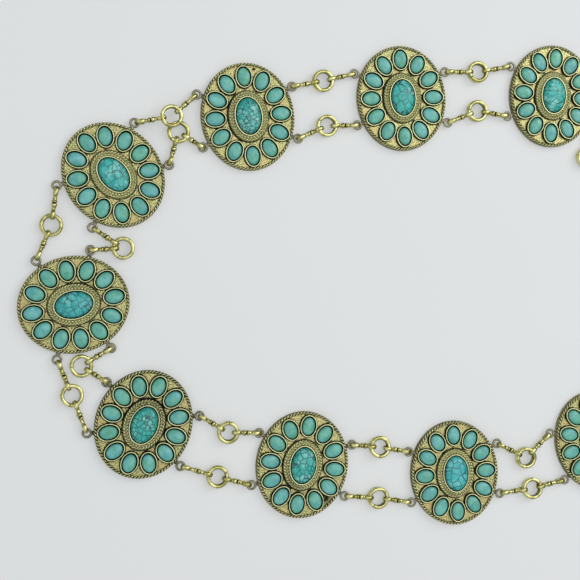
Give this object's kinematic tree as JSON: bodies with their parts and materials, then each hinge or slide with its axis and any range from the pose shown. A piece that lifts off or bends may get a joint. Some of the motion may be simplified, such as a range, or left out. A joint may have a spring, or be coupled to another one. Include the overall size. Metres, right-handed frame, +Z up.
{
  "type": "belly dance belt",
  "caption": "Belly dance belt: oval cast medallions ringed with turquoise cabochons, joined by two strands of bar links and rings, laid flat as a closed loop with a plain hook.",
  "frame": {"origin": "middle of the belt's underside as it lies on a surface", "axes": "+X along the loop's long way towards the clasp, +Y across it towards the far side, +Z up from the surface, out of the stones"},
  "size_m": [0.3424, 0.2304, 0.0077],
  "materials": {
    "antique_metal": "antique pale gold, stippled matte face, dark patina in the recesses",
    "small_stone": "polished turquoise cabochons, greener or bluer from stone to stone",
    "center_stone": "polished turquoise with dark teal crackle veins",
    "chain_brass": "bright polished yellow brass with dark joints"
  },
  "bodies": {
    "root": {"medallion_01": "antique_metal", "center_stone_01": "center_stone", "medallion_02": "antique_metal", "center_stone_02": "center_stone", "medallion_03": "antique_metal", "center_stone_03": "center_stone", "medallion_04": "antique_metal", "center_stone_04": "center_stone", "medallion_05": "antique_metal", "center_stone_05": "center_stone", "medallion_06": "antique_metal", "center_stone_06": "center_stone", "medallion_07": "antique_metal", "center_stone_07": "center_stone", "medallion_08": "antique_metal", "center_stone_08": "center_stone", "medallion_09": "antique_metal", "center_stone_09": "center_stone", "medallion_10": "antique_metal", "center_stone_10": "center_stone", "medallion_11": "antique_metal", "center_stone_11": "center_stone", "strand_01_outer": "chain_brass", "strand_01_inner": "chain_brass", "strand_02_outer": "chain_brass", "strand_02_inner": "chain_brass", "strand_03_outer": "chain_brass", "strand_03_inner": "chain_brass", "strand_04_outer": "chain_brass", "strand_04_inner": "chain_brass", "strand_05_outer": "chain_brass", "strand_05_inner": "chain_brass", "strand_06_outer": "chain_brass", "strand_06_inner": "chain_brass", "strand_07_outer": "chain_brass", "strand_07_inner": "chain_brass", "strand_08_outer": "chain_brass", "strand_08_inner": "chain_brass", "strand_09_outer": "chain_brass", "strand_09_inner": "chain_brass", "strand_10_outer": "chain_brass", "strand_10_inner": "chain_brass", "clasp_end_01": "chain_brass", "clasp_end_02": "chain_brass", "clasp_hook": "chain_brass"}
  },
  "joints": []
}
